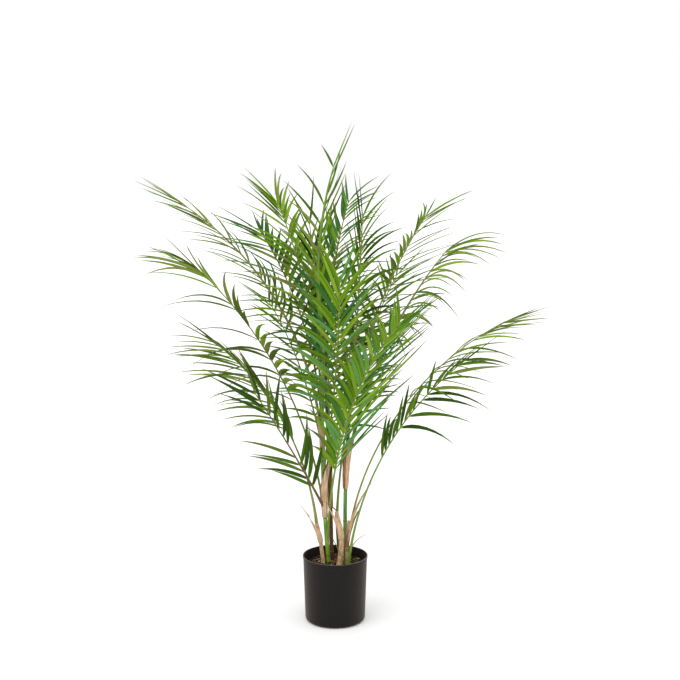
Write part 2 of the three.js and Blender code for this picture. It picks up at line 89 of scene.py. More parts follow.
# The fronds as in the part's source, with the spacing of the finer leaflets in gap: at is the foot's
# share of the cane, bare the share of the rib that has no leaflets, and leaf their full length. tone
# runs from 0, the lightest green, to 4, the darkest. pale and cool are the shares of leaflets in an
# olive and in a bluish green, broad widens the leaflets, stout thickens the middle of the rib, stiff
# is how much less the last leaflets sag, and crowd brings the leaflets closer together toward the
# rib's end.
FRONDS = {
    "frond_top": dict(
        cane="left_cane", at=0.99, heading=15, lean=(-10, 17), length=0.400, turn=20,
        bare=0.25, leaf=0.130, gap=0.022, lift=0, droop=0.02, broad=1.2, stout=2.2, pale=0.3, tone=2,
        rib="green"),
    "frond_upper_right": dict(
        cane="rear_cane", at=0.95, heading=72, lean=(-2, 46), length=0.460,
        bare=0.25, leaf=0.135, gap=0.0135, lift=0, droop=0.05, cool=0.7, tone=2, rib="brown"),
    "frond_right_upright": dict(
        cane="right_cane", at=0.97, heading=40, lean=(6, 3), length=0.385,
        bare=0.22, leaf=0.145, gap=0.0135, lift=-15, droop=0.05, tone=3, rib="olive"),
    "frond_upper_left": dict(
        cane="left_cane", at=0.84, heading=120, lean=(4, 16), length=0.350,
        bare=0.25, leaf=0.135, gap=0.017, lift=0, droop=0.05, cool=0.5, tone=3, rib="olive"),
    "frond_left_high": dict(
        cane="left_cane", at=0.7, heading=135, lean=(3, 32), length=0.480,
        bare=0.32, leaf=0.160, gap=0.0145, lift=-18, droop=0.05, crowd=0.25, pale=0.25, tone=1, rib="green"),
    "frond_left_shoulder": dict(
        cane="left_cane", at=0.55, heading=150, lean=(0, 38), length=0.500,
        bare=0.32, leaf=0.165, gap=0.017, lift=-20, droop=0.08, crowd=0.4, cool=0.8, tone=1, rib="brown"),
    "frond_left_long": dict(
        cane="left_cane", at=0.46, heading=167, lean=(0, 60), length=0.700, turn=-20,
        bare=0.45, leaf=0.140, gap=0.0145, lift=-8, droop=0.04, stout=1.4, pale=0.7, tone=1, rib="olive"),
    "frond_left_arching": dict(
        cane="left_cane", at=0.14, heading=190, lean=(4, 45), length=0.660, turn=42,
        bare=0.46, leaf=0.185, gap=0.0145, lift=-28, droop=0.2, stiff=0.5, crowd=0.5, pale=0.3, tone=0,
        rib="olive"),
    "frond_left_low": dict(
        cane="left_stub", at=0.95, heading=200, lean=(7, 50), length=0.490, turn=15,
        bare=0.38, leaf=0.165, gap=0.0115, lift=-18, droop=0.12, stiff=0.5, pale=0.4, tone=2, rib="olive"),
    "frond_left_front": dict(
        cane="left_cane", at=0.25, heading=218, lean=(30, 36), length=0.345, turn=35,
        bare=0.16, leaf=0.175, gap=0.020, lift=-14, droop=0.1, spread=(40, 24), tone=4, rib="brown"),
    "frond_right_long": dict(
        cane="right_stub", at=0.3, heading=352, lean=(5, 61), length=0.650,
        bare=0.54, leaf=0.145, gap=0.0155, lift=-28, droop=0.14, stiff=1.0, crowd=0.4, pale=0.45, tone=1,
        rib="olive"),
    "frond_right_low": dict(
        foot=(0.029, -0.018), heading=345, lean=(6, 51), length=0.560, turn=-52,
        bare=0.46, leaf=0.145, gap=0.016, lift=-38, droop=0.42, broad=1.2, pale=0.25, tone=3, rib="green"),
    "frond_right_arching": dict(
        cane="right_cane", at=0.53, heading=14, lean=(10, 41), length=0.545, turn=-20,
        bare=0.55, leaf=0.165, gap=0.018, lift=-34, droop=0.5, stiff=0.3, crowd=0.4, broad=1.15, stout=1.9,
        pale=0.5, tone=1, rib="olive"),
    "frond_right_high": dict(
        cane="right_cane", at=0.85, heading=42, lean=(14, 44), length=0.490,
        bare=0.36, leaf=0.155, gap=0.016, lift=-22, droop=0.08, crowd=0.3, pale=0.6, tone=2, rib="olive"),
    "frond_front": dict(
        cane="left_cane", at=0.07, heading=301, lean=(3, 53), length=0.634,
        bare=0.29, leaf=0.160, gap=0.012, lift=10, droop=0.12, spread=(46, 24), cool=0.3, tone=1,
        rib="green"),
    "frond_front_upper": dict(
        cane="left_cane", at=0.42, heading=288, lean=(29, 2), length=0.460,
        bare=0.22, leaf=0.165, gap=0.0125, lift=10, droop=0.12, cool=0.2, tone=1, rib="green"),
    "frond_back": dict(
        cane="rear_cane", at=0.5, heading=92, lean=(10, 54), length=0.520,
        bare=0.3, leaf=0.150, gap=0.017, lift=0, droop=0.2, tone=2, rib="green"),
    "frond_back_right": dict(
        cane="rear_stub", at=0.9, heading=58, lean=(4, 50), length=0.620,
        bare=0.4, leaf=0.150, gap=0.017, lift=0, droop=0.2, tone=2, rib="green"),
    "frond_back_left": dict(
        cane="rear_cane", at=0.3, heading=122, lean=(10, 56), length=0.540,
        bare=0.34, leaf=0.150, gap=0.017, lift=0, droop=0.2, tone=2, rib="green"),
    "frond_back_high": dict(
        cane="rear_cane", at=0.75, heading=106, lean=(6, 38), length=0.430,
        bare=0.28, leaf=0.140, gap=0.017, lift=0, droop=0.12, tone=1, rib="olive"),
}


def half(
        flat=0.1, reach=1.0, curl=0.12, spread=0, tip=0, lift=0, sag=1.0, arch=0.0, broad=1.0,
        end=1.0, missing=0.0, bald=(1, 1)):
    """How the leaflets of half a frond hang: how level their blades lie, their share of the full
    length, how far they curl toward the rib's tip, what comes on top of the frond's spread at its
    foot and tip and on top of its lift, how far they sag for that frond, how far they arch over the
    rib, how broad they are, their share of the full length at the rib's end, the share of them that
    is missing, and a bald stretch."""
    return dict(
        flat=flat, reach=reach, curl=curl, spread=spread, tip=tip, lift=lift, sag=sag, arch=arch,
        broad=broad, end=end, missing=missing, bald=bald)


# The right and the left half of a frond, seen from its foot.
HALVES = {
    "frond_top": (
        half(0.3, curl=0.3, spread=-36, tip=-4, lift=-30, sag=5, broad=0.8, end=1.2, missing=0.2),
        half(0.3, curl=-0.7, spread=-44, tip=34, lift=50, broad=0.8, end=0.85, bald=(0.7, 0.9), missing=0.3)),
    "frond_upper_right": (
        half(0.5, curl=-0.9, sag=3, missing=0.1),
        half(0.4, 0.9, 0.4, spread=-10, broad=1.5, end=0.8, missing=0.1)),
    "frond_right_upright": (
        half(0.4, curl=-0.8, sag=4, missing=0.1),
        half(0.2, 0.9, 0.3, missing=0.1)),
    "frond_upper_left": (
        half(0.1, 0.75, 0.3, spread=-18, tip=-2, broad=1.2, missing=0.3),
        half(0.1, 0.7, -0.2, spread=-12, tip=-2, broad=1.2, missing=0.4)),
    "frond_left_high": (
        half(0.75, 0.45, -0.9, spread=-8, broad=1.4, lift=60, missing=0.15),
        half(0.6, curl=-0.3, sag=3, bald=(0, 0.12), missing=0.2)),
    "frond_left_shoulder": (
        half(0.85, 0.45, -0.3, spread=-10, tip=14, broad=1.8, lift=110, end=0.8),
        half(0.7, curl=-0.2, tip=24, sag=3, bald=(0, 0.12), missing=0.2)),
    "frond_left_long": (
        half(0.8, 0.8, 0.5, tip=-16, sag=2, arch=0.1, broad=0.8, missing=0.35),
        half(0.7, 0.95, 0.1, tip=-10, sag=5, arch=0.08, broad=0.9, missing=0.15)),
    "frond_left_arching": (
        half(0.75, 1.05, spread=-10, tip=-6, sag=3.0, arch=0.08, end=1.1, missing=0.4),
        half(0.0, 0.36, -1.5, tip=-30, lift=30, broad=1.5, end=1.15, missing=0.1)),
    "frond_left_low": (
        half(0.4, 1.12, -0.2, spread=10, tip=14, sag=2.4, broad=1.1, bald=(0.0, 0.12), missing=0.08),
        half(0.1, 0.95, 0.2, spread=-38, tip=-6, lift=22, sag=2, broad=1.1)),
    "frond_left_front": (
        half(0.0, 0.76, -0.1, sag=1.6, broad=1.1, bald=(0.34, 0.7)),
        half(0.0, 1, 0.2, spread=-6, lift=14, bald=(0.3, 0.4), missing=0.15)),
    "frond_right_long": (
        half(0.6, 1.05, tip=11, lift=-6, sag=2, arch=0.16, end=0.95, missing=0.05),
        half(0.6, 0.85, tip=-4, sag=2, arch=0.2, broad=0.8, missing=0.3)),
    "frond_right_low": (
        half(0.2, 0.95, 0.1, spread=-34, lift=50, broad=0.8, missing=0.1),
        half(0.1, 0.95, -0.6, spread=-6, bald=(0.0, 0.22), missing=0.35)),
    "frond_right_arching": (
        half(0.4, 0.7, -0.1, tip=6, lift=12, broad=0.9, end=1.45, missing=0.1),
        half(0.6, 0.7, -0.3, tip=12, broad=0.7, end=1.3, missing=0.25)),
    "frond_right_high": (
        half(0.8, 1.05, -0.3, sag=3, broad=0.6, missing=0.2),
        half(0.75, 0.42, -0.8, lift=20, broad=1.4, end=0.7, bald=(0.1, 0.4))),
    "frond_front": (
        half(0.05, 1.0, -0.3, spread=-18, sag=1.6, broad=1.15),
        half(0.0, 1.34, 0.25, spread=-2, tip=-4, broad=1.05)),
    "frond_front_upper": (
        half(0.05, 1.0, -0.4, spread=-8, sag=2, broad=1.05, bald=(0, 0.17)),
        half(0.05, 1.1, -0.4, sag=2, broad=1.05)),
    "frond_back": (half(0.1, curl=-0.4), half(0.1, curl=-0.4, missing=0.2)),
    "frond_back_right": (half(0.1, curl=-0.4, missing=0.1), half(0.1, curl=-0.4, missing=0.2)),
    "frond_back_left": (half(0.1, 0.8, -0.4, missing=0.4), half(0.1, 0.6, -0.4, missing=0.5)),
    "frond_back_high": (half(0.1, curl=-0.5), half(0.1, curl=-0.5)),
}
USUAL_HALVES = (half(), half())

SKY = np.array([0.0, 0.0, 1.0])


def mix(start, end, share):
    return start + (end - start) * share


def wobble(*seeds):
    """A repeatable number from -1 to 1 for any seeds, as in the part's source."""
    mixed = 0.5
    for place, seed in enumerate(seeds):
        mixed += seed * (12.9898 + 65.177 * place)
    fraction = math.sin(mixed) * 43758.5453
    return 2 * (fraction - math.floor(fraction)) - 1


def unit(vectors):
    return vectors / np.linalg.norm(vectors, axis=-1, keepdims=True)


class Arc:
    """The middle line of a limb, one arc in an upright plane."""

    def __init__(self, start, heading, lean, length, turn=0):
        self.start = np.array(start, float)
        self.first, self.last = np.radians(lean)
        self.ahead = np.array([math.cos(math.radians(heading)), math.sin(math.radians(heading)), 0])
        self.length = length
        self.turn = math.radians(turn)

    def at(self, share):
        """Place, along, across and up at shares of the length, each a row per share."""
        share = np.atleast_1d(np.asarray(share, float))[:, None]
        bend = self.last - self.first
        angle = self.first + bend * share
        outward = self.length * (math.cos(self.first) - np.cos(angle)) / bend
        rise = self.length * (np.sin(angle) - math.sin(self.first)) / bend
        place = self.start + self.ahead * outward + SKY * rise
        along = self.ahead * np.sin(angle) + SKY * np.cos(angle)
        level = np.cross(SKY, self.ahead)
        across = level * math.cos(self.turn) + np.cross(along, level) * math.sin(self.turn)
        return place, along, across, np.cross(along, across)


def cane_arc(name):
    cane = CANES[name]
    return Arc((*cane["foot"], FILL_TOP + CLEAR), cane["heading"], cane["lean"], cane["length"])


def cane_radius(name, share):
    foot, top = CANES[name]["radii"]
    flare = 1 + (ROOT_FLARE - 1) * np.maximum(0, 1 - share / FLARE_SHARE)
    return mix(foot, top, share) * flare


def frond_arc(frond):
    if "foot" in frond:
        start = (*frond["foot"], FILL_TOP + CLEAR)
    else:
        start = cane_arc(frond["cane"]).at(frond["at"])[0][0]
    return Arc(start, frond["heading"], frond["lean"], frond["length"], frond.get("turn", 0))


# Materials.
COLOUR, NUMBER = "NodeSocketColor", "NodeSocketFloat"
SCREEN_GAMMA = 2.2
MOTTLE_DETAIL = 4
MOTTLE_SPAN = (0.32, 0.68)
STRAND_DETAIL = 5
STRAND_ROUGHNESS = 0.6
STRAND_SPAN = (0.3, 0.7)
STRAND_SHIFT = 25
LEAF_SHADE = 0.7
LEAF_ACROSS = 14
LEAF_ALONG = 1.5
LEAF_SPECULAR = 0.08


def paint(red, green, blue):
    """A linear colour from its screen values of 0 to 255."""
    return tuple((value / 255) ** SCREEN_GAMMA for value in (red, green, blue)) + (1.0,)


def add(tree, kind, **settings):
    node = tree.nodes.new(kind)
    for name, value in settings.items():
        setattr(node, name, value)
    return node


def effect(name, *numbers):
    """A new shader node group, with its two end nodes. It takes a light and a dark colour and the
    named numbers, and gives a colour and a mask."""
    tree = bpy.data.node_groups.new(name, "ShaderNodeTree")
    for label in ("Light", "Dark"):
        tree.interface.new_socket(label, in_out="INPUT", socket_type=COLOUR)
    for label in numbers:
        tree.interface.new_socket(label, in_out="INPUT", socket_type=NUMBER)
    tree.interface.new_socket("Colour", in_out="OUTPUT", socket_type=COLOUR)
    tree.interface.new_socket("Mask", in_out="OUTPUT", socket_type=NUMBER)
    return tree, tree.nodes.new("NodeGroupInput"), tree.nodes.new("NodeGroupOutput")


def colour_by(texture, span, tree, start, end):
    """Stretches a noise from span to 0 to 1 as the group's mask, and blends its colours by it."""
    mask = add(tree, "ShaderNodeMapRange", clamp=True)
    mask.inputs["From Min"].default_value, mask.inputs["From Max"].default_value = span
    blend = add(tree, "ShaderNodeMix", data_type="RGBA")
    link = tree.links.new
    link(texture.outputs["Fac"], mask.inputs["Value"])
    link(mask.outputs["Result"], blend.inputs["Factor"])
    link(start.outputs["Light"], blend.inputs["A"])
    link(start.outputs["Dark"], blend.inputs["B"])
    link(blend.outputs["Result"], end.inputs["Colour"])
    link(mask.outputs["Result"], end.inputs["Mask"])


def mottle_effect():
    """Two colours in soft patches over the surface."""
    tree, start, end = effect("mottle", "Scale")
    place = add(tree, "ShaderNodeTexCoord")
    patches = add(tree, "ShaderNodeTexNoise")
    patches.inputs["Detail"].default_value = MOTTLE_DETAIL
    tree.links.new(place.outputs["Object"], patches.inputs["Vector"])
    tree.links.new(start.outputs["Scale"], patches.inputs["Scale"])
    colour_by(patches, MOTTLE_SPAN, tree, start, end)
    return tree


def strands_effect():
    """Fibres that run along a surface's own map, from its foot to its end, and change with height."""
    tree, start, end = effect("strands", "Across", "Along")
    place = add(tree, "ShaderNodeUVMap", uv_map="surface")
    body = add(tree, "ShaderNodeTexCoord")
    place_parts, body_parts = (add(tree, "ShaderNodeSeparateXYZ") for _ in range(2))
    wide, long, height = (add(tree, "ShaderNodeMath", operation="MULTIPLY") for _ in range(3))
    height.inputs[1].default_value = STRAND_SHIFT
    stretched = add(tree, "ShaderNodeCombineXYZ")
    fibres = add(tree, "ShaderNodeTexNoise")
    fibres.inputs["Scale"].default_value = 1
    fibres.inputs["Detail"].default_value = STRAND_DETAIL
    fibres.inputs["Roughness"].default_value = STRAND_ROUGHNESS
    link = tree.links.new
    link(place.outputs["UV"], place_parts.inputs["Vector"])
    link(body.outputs["Object"], body_parts.inputs["Vector"])
    link(place_parts.outputs["X"], wide.inputs[0])
    link(start.outputs["Across"], wide.inputs[1])
    link(place_parts.outputs["Y"], long.inputs[0])
    link(start.outputs["Along"], long.inputs[1])
    link(body_parts.outputs["Z"], height.inputs[0])
    link(wide.outputs["Value"], stretched.inputs["X"])
    link(long.outputs["Value"], stretched.inputs["Y"])
    link(height.outputs["Value"], stretched.inputs["Z"])
    link(stretched.outputs["Vector"], fibres.inputs["Vector"])
    colour_by(fibres, STRAND_SPAN, tree, start, end)
    return tree


MOTTLE = mottle_effect()
STRANDS = strands_effect()


def finish(name, group, values, roughness, bump=0.0, bump_size=0.001, specular=0.5):
    """A material whose colour, gloss and relief come from one effect."""
    material = bpy.data.materials.new(name)
    material.use_nodes = True
    tree = material.node_tree
    tree.nodes.clear()
    out = add(tree, "ShaderNodeOutputMaterial")
    shader = add(tree, "ShaderNodeBsdfPrincipled")
    shader.inputs["Specular IOR Level"].default_value = specular
    pattern = add(tree, "ShaderNodeGroup", node_tree=group)
    for label, value in values.items():
        pattern.inputs[label].default_value = value
    gloss = add(tree, "ShaderNodeMapRange")
    gloss.inputs["To Min"].default_value, gloss.inputs["To Max"].default_value = roughness
    link = tree.links.new
    link(pattern.outputs["Colour"], shader.inputs["Base Color"])
    link(pattern.outputs["Mask"], gloss.inputs["Value"])
    link(gloss.outputs["Result"], shader.inputs["Roughness"])
    if bump:
        relief = add(tree, "ShaderNodeBump")
        relief.inputs["Strength"].default_value = bump
        relief.inputs["Distance"].default_value = bump_size
        link(pattern.outputs["Mask"], relief.inputs["Height"])
        link(relief.outputs["Normal"], shader.inputs["Normal"])
    link(shader.outputs["BSDF"], out.inputs["Surface"])
    return material


def patchy_finish(name, light, dark, scale, roughness, **others):
    """Soft patches of two colours."""
    return finish(name, MOTTLE, dict(Light=light, Dark=dark, Scale=scale), roughness, **others)


def fibre_finish(name, light, dark, across, along, roughness, **others):
    """Fibres along a stalk, a husk or a leaflet. On the two green canes the broad dark streaks are partly
    painted shade for the canes' darker sides.
    """
    return finish(
        name, STRANDS, dict(Light=light, Dark=dark, Across=across, Along=along), roughness, **others)


def leaf_finish(name, colour, roughness=(0.45, 0.6)):
    shade = tuple(value * LEAF_SHADE for value in colour[:3]) + (1.0,)
    return fibre_finish(name, colour, shade, LEAF_ACROSS, LEAF_ALONG, roughness, specular=LEAF_SPECULAR)


def rib_finish(name, light, dark, roughness):
    return fibre_finish(name, light, dark, across=14, along=9, roughness=roughness)


def chip_finish(name, light, dark):
    return patchy_finish(name, light, dark, scale=300, roughness=(0.8, 0.95), bump=0.6)


def warm_sheen(material, weight, roughness, tint):
    """A soft coloured glow on a surface that is seen at a low angle."""
    shader = next(node for node in material.node_tree.nodes if node.type == "BSDF_PRINCIPLED")
    shader.inputs["Sheen Weight"].default_value = weight
    shader.inputs["Sheen Roughness"].default_value = roughness
    shader.inputs["Sheen Tint"].default_value = tint


LEAF_GREENS = [
    leaf_finish("leaf_pale", paint(132, 164, 50)),
    leaf_finish("leaf_bright", paint(112, 150, 32)),
    leaf_finish("leaf_middle", paint(92, 130, 20)),
    leaf_finish("leaf_deep", paint(68, 104, 10)),
    leaf_finish("leaf_dark", paint(48, 78, 6)),
]
LEAF_FINISHES = LEAF_GREENS + [
    leaf_finish("leaf_underside", paint(122, 138, 64), roughness=(0.6, 0.7)),
    leaf_finish("leaf_underside_deep", paint(88, 108, 38), roughness=(0.6, 0.7)),
    leaf_finish("leaf_root", paint(134, 148, 44)),
    leaf_finish("leaf_young", paint(106, 140, 34)),
    leaf_finish("leaf_tip", paint(104, 116, 56)),
    leaf_finish("leaf_point", paint(112, 104, 70)),
    leaf_finish("leaf_cool", paint(94, 146, 74)),
    leaf_finish("leaf_cool_deep", paint(64, 112, 48)),
]
UNDER, UNDER_DEEP, ROOT, YOUNG, TIP, POINT, COOL, COOL_DEEP = range(len(LEAF_GREENS), len(LEAF_FINISHES))

RIB_FINISHES = {
    "green": rib_finish("rib_green", paint(112, 142, 40), paint(78, 112, 22), roughness=(0.4, 0.55)),
    "olive": rib_finish("rib_olive", paint(134, 138, 58), paint(94, 100, 34), roughness=(0.45, 0.6)),
    "brown": rib_finish("rib_brown", paint(108, 90, 54), paint(70, 54, 34), roughness=(0.5, 0.65)),
}
# The two green canes have broad dark streaks that are partly the canes' own streaks and partly painted shade
# standing for their darker sides.
CANE_GREEN_STREAKS_AND_PAINTED_SHADE = fibre_finish(
    "cane_green_streaks_and_painted_shade", paint(142, 178, 52), paint(40, 84, 4),
    across=9, along=3, roughness=(0.22, 0.38), bump=0.25)
CANE_MIDDLE_STREAKS_AND_PAINTED_SHADE = fibre_finish(
    "cane_middle_streaks_and_painted_shade", paint(108, 156, 58), paint(34, 76, 14),
    across=9, along=3, roughness=(0.25, 0.4), bump=0.25)
CANE_DEEP = fibre_finish(
    "cane_deep", paint(84, 116, 28), paint(48, 78, 12),
    across=14, along=4, roughness=(0.35, 0.5), bump=0.25)
CANE_BROWN = fibre_finish(
    "cane_brown", paint(116, 76, 48), paint(56, 34, 24),
    across=16, along=4, roughness=(0.6, 0.8), bump=0.5)
CANE_SCAR = fibre_finish(
    "cane_scar", paint(132, 124, 84), paint(60, 50, 44),
    across=16, along=30, roughness=(0.6, 0.8), bump=0.3)
STUB_TAN = fibre_finish(
    "stub_tan", paint(230, 198, 154), paint(112, 74, 44),
    across=18, along=14, roughness=(0.75, 0.95), bump=0.9)
HUSK_TAN = fibre_finish(
    "husk_tan", paint(238, 204, 164), paint(120, 76, 46),
    across=30, along=2.5, roughness=(0.75, 0.95), bump=0.8)
HUSK_BROWN = fibre_finish(
    "husk_brown", paint(172, 120, 82), paint(66, 38, 24),
    across=34, along=2.5, roughness=(0.7, 0.9), bump=0.7)
POT_BLACK = patchy_finish(
    "pot_black", paint(26, 24, 25), paint(20, 19, 20),
    scale=220, roughness=(0.42, 0.48), bump=0.03, specular=0.14)
warm_sheen(POT_BLACK, weight=0.16, roughness=0.5, tint=paint(200, 160, 138))
# A lighter colour on the top of the pot's lip: a painted highlight along the rounded rim.
POT_LIP_PAINTED_HIGHLIGHT = patchy_finish(
    "pot_lip_painted_highlight", paint(112, 98, 90), paint(84, 74, 68),
    scale=160, roughness=(0.35, 0.45), bump=0.03, specular=0.3)
FILL_BROWN = patchy_finish(
    "fill_brown", paint(36, 26, 20), paint(10, 8, 6),
    scale=260, roughness=(0.85, 1.0), bump=1.0, bump_size=0.002)
CHIP_FINISHES = [
    chip_finish("chip_dark", paint(38, 27, 20), paint(14, 10, 8)),
    chip_finish("chip_brown", paint(80, 56, 40), paint(34, 23, 16)),
    chip_finish("chip_tan", paint(196, 160, 124), paint(112, 80, 56)),
]
STRAW = patchy_finish(
    "straw", paint(206, 166, 116), paint(132, 92, 58), scale=200, roughness=(0.7, 0.9))


# Meshes.
class Pile:
    """Many closed shapes, each swept from ring to ring, that become the mesh of one piece."""

    def __init__(self):
        self.corners, self.faces, self.looks, self.maps = [], [], [], []
        self.count = 0

    def sweep(self, rings, looks=0):
        """Bridges rings of rows x sides x 3 corners and closes both ends. looks has a finish for
        each row and side, or one for all."""
        rows, sides, _ = rings.shape
        number = self.count + np.arange(rows * sides).reshape(rows, sides)
        following = np.roll(number, -1, axis=1)
        quads = np.stack([number[:-1], following[:-1], following[1:], number[1:]], axis=-1)
        u, v = np.arange(sides) / sides, np.linspace(0, 1, rows)
        step_u, step_v = 1 / sides, 1 / (rows - 1)
        grid_v, grid_u = np.meshgrid(v[:-1], u, indexing="ij")
        corners_u = (grid_u, grid_u + step_u, grid_u + step_u, grid_u)
        corners_v = (grid_v, grid_v, grid_v + step_v, grid_v + step_v)
        around = [np.stack(pair, axis=-1) for pair in zip(corners_u, corners_v)]
        looks = np.broadcast_to(looks, (rows - 1, sides))
        self.corners.append(rings.reshape(-1, 3))
        self.faces += quads.reshape(-1, 4).tolist() + [number[0, ::-1].tolist(), number[-1].tolist()]
        self.looks += looks.ravel().tolist() + [int(looks[0, 0]), int(looks[-1, 0])]
        self.maps.append(np.stack(around, axis=2).reshape(-1, 2))
        self.maps.append(np.full((sides, 2), 0.0))
        self.maps.append(np.full((sides, 2), 1.0))
        self.count += rows * sides

    def piece(self, name, finishes, sharp=40):
        mesh = bpy.data.meshes.new(name)
        mesh.from_pydata(np.concatenate(self.corners).tolist(), [], self.faces)
        mesh.uv_layers.new(name="surface").data.foreach_set("uv", np.concatenate(self.maps).ravel())
        for material in finishes:
            mesh.materials.append(material)
        mesh.polygons.foreach_set("material_index", self.looks)
        mesh.polygons.foreach_set("use_smooth", [True] * len(mesh.polygons))
        mesh.set_sharp_from_angle(angle=math.radians(sharp))
        made = bpy.data.objects.new(name, mesh)
        bpy.context.scene.collection.objects.link(made)
        return made


def ring_angles(sides):
    """Angles round a limb, from its under side on."""
    return 2 * np.pi * np.arange(sides) / sides - np.pi / 2


def ring_round(places, across, up, radii, sides):
    """Rings round a limb, turning from across to up, one for each place."""
    angles = ring_angles(sides)[:, None]
    offset = across[:, None] * np.cos(angles) + up[:, None] * np.sin(angles)
    return places[:, None] + offset * np.reshape(radii, (len(places), -1, 1))


def select_none():
    bpy.ops.object.select_all(action="DESELECT")


def apply_modifiers(piece):
    select_none()
    piece.select_set(True)
    bpy.context.view_layer.objects.active = piece
    for modifier in list(piece.modifiers):
        bpy.ops.object.modifier_apply(modifier=modifier.name)


def settle(piece, slot, *nodes):
    """Hands a piece over to the root body and hides the nodes that it stands in for. slot is not used."""
    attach(piece, "root")
    if nodes:
        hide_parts(*nodes)


# Leaflets and ribs.
LEAF_ROWS = np.array([0, 0.05, 0.12, 0.22, 0.34, 0.48, 0.62, 0.76, 0.89, 1])
LEAF_ROOT_WIDTH = 0.3
LEAF_POINT_WIDTH = 0.03
LEAF_FULLNESS = 1.9
LEAF_BLUNTNESS = 0.85
LEAF_THICKNESS = 0.0005
SHORTEST_LEAF = 0.78
PROFILE_FOOT = 0.15
PROFILE_RISE = 0.95
END_FLATNESS = 0.5
END_CURL = 0.4
END_FOLD = 0.6
END_THICKNESS = 0.3
LEAST_CURL = 0.01
TIP_STIFFNESS = 0.75
WOBBLE_SAG = 0.5
WOBBLE_FLAT = 0.25
WOBBLE_CURL = 0.2
WOBBLE_TWIST = 22
WOBBLE_AIM = 4
WOBBLE_REACH = 0.05
WOBBLE_TONE = 1.1
DEEP_TONE = 3
LIGHT_UNDERSIDE_ABOVE = 0.8
DEEP_UNDERSIDE_BELOW = -0.6
LAST_PAIRS = 0.9


def leaf_widths(t):
    """The share of a leaflet's full width along it, from a narrow root to a long fine tip."""
    opening = np.clip(t / WIDEST_AT, 0, 1)
    root = mix(LEAF_ROOT_WIDTH, 1, opening * (2 - opening))
    return np.maximum(root * (1 - t ** LEAF_FULLNESS) ** LEAF_BLUNTNESS, LEAF_POINT_WIDTH)


def leaf_tone(frond, own):
    """The finish of the middle of a leaflet's upper face."""
    if abs(own(12)) < frond.get("pale", 0):
        return UNDER if own(13) > 0 else UNDER_DEEP
    if abs(own(16)) < frond.get("cool", 0):
        return COOL if own(13) > 0 else COOL_DEEP
    return int(np.clip(round(frond["tone"] + WOBBLE_TONE * own(7)), 0, len(LEAF_GREENS) - 1))


def leaf_looks(tone, chance, is_cool):
    """The finish of each row of a leaflet's upper and under face. By chance the under face is
    lighter or deeper than the upper one."""
    upper = np.full(len(LEAF_ROWS) - 1, tone)
    upper[:2] = (ROOT, YOUNG)
    upper[-2:] = (TIP, POINT)
    light, deep = (COOL, COOL_DEEP) if is_cool else (UNDER, UNDER_DEEP)
    under = tone
    if chance > LIGHT_UNDERSIDE_ABOVE and tone < DEEP_TONE:
        under = light
    elif chance < DEEP_UNDERSIDE_BELOW:
        under = deep
    lower = np.full(len(LEAF_ROWS) - 1, under)
    lower[0] = ROOT
    lower[-2:] = (TIP, POINT)
    return upper, lower


def leaflet(pile, frond, arc, hang, seed, station, side):
    """A folded blade on one side of a rib, by the source's rule and with a finer shape."""
    pair, rise, share = station

    def own(number):
        return wobble(seed, pair, side, number)

    place, along, across, up = (vectors[0] for vectors in arc.at(share))
    spread = mix(*frond.get("spread", SPREAD), rise) + WOBBLE_SPREAD * own(1)
    spread = math.radians(spread + mix(hang["spread"], hang["tip"], rise) + WOBBLE_AIM * own(9))
    lift = math.radians(frond["lift"] + hang["lift"] * (1 - rise ** 2) + WOBBLE_LIFT * own(2))
    outward = across * side * math.cos(lift) + up * math.sin(lift)
    aim = along * math.cos(spread) + outward * math.sin(spread)
    profile = mix(SHORTEST_LEAF, 1, math.sin(math.pi * min(1, PROFILE_FOOT + PROFILE_RISE * rise)))
    length = frond["leaf"] * profile * (1 + WOBBLE_LENGTH * own(3))
    length *= mix(hang["reach"], hang["end"], rise ** 3) * (1 + WOBBLE_REACH * own(10))
    sag = frond["droop"] * hang["sag"] * length * (1 + WOBBLE_SAG * own(4))
    sag *= 1 - frond.get("stiff", TIP_STIFFNESS) * rise
    width = mix(BLADE_SHARE, BLADE_TIP_SHARE, rise) * frond["leaf"] * frond.get("broad", 1)
    width *= mix(hang["broad"], 1, rise ** 3)

    toward = unit(along - aim * (along @ aim))
    level = unit(np.cross(SKY, aim))
    level = level if level @ toward > 0 else -level
    flat = hang["flat"] * mix(1, END_FLATNESS, rise) + WOBBLE_FLAT * own(6)
    wide = unit(mix(toward, level, np.clip(flat, 0, 1)))
    below = np.cross(aim, wide) * side

    t = LEAF_ROWS[:, None]
    turn = (hang["curl"] * mix(1, END_CURL, rise) + WOBBLE_CURL * own(5)) or LEAST_CURL
    curled = (aim * np.sin(turn * t) + toward * (1 - np.cos(turn * t))) / turn
    bow = 4 * t * (1 - t) * (1 - rise)
    middle = place + length * curled - SKY * sag * t ** 2 + up * hang["arch"] * length * bow
    twist = math.radians(WOBBLE_TWIST) * own(8) * t
    turned_wide = wide * np.cos(twist) + below * np.sin(twist)
    turned_below = below * np.cos(twist) - wide * np.sin(twist)
    size = leaf_widths(t) * width
    keel = middle + turned_below * FOLD_SHARE * size * mix(1, END_FOLD, t)
    thickness = turned_below * LEAF_THICKNESS * mix(1, END_THICKNESS, t)
    front, back = middle + turned_wide * size / 2, middle - turned_wide * size / 2
    top, bottom = keel - thickness / 2, keel + thickness / 2

    upper, lower = leaf_looks(leaf_tone(frond, own), own(11), "cool" in frond)
    if side > 0:
        rings = np.stack([front, bottom, back, top], axis=1)
        looks = np.stack([lower, lower, upper, upper], axis=1)
    else:
        rings = np.stack([front, top, back, bottom], axis=1)
        looks = np.stack([upper, upper, lower, lower], axis=1)
    pile.sweep(rings, looks)


def grows(hang, seed, station, side):
    """Whether a leaflet isn't missing. The last pairs always grow."""
    pair, rise, _ = station
    first, last = hang["bald"]
    is_missing = (wobble(seed, pair, side, 15) + 1) / 2 < hang["missing"]
    return rise > LAST_PAIRS or not (first <= rise < last or is_missing)


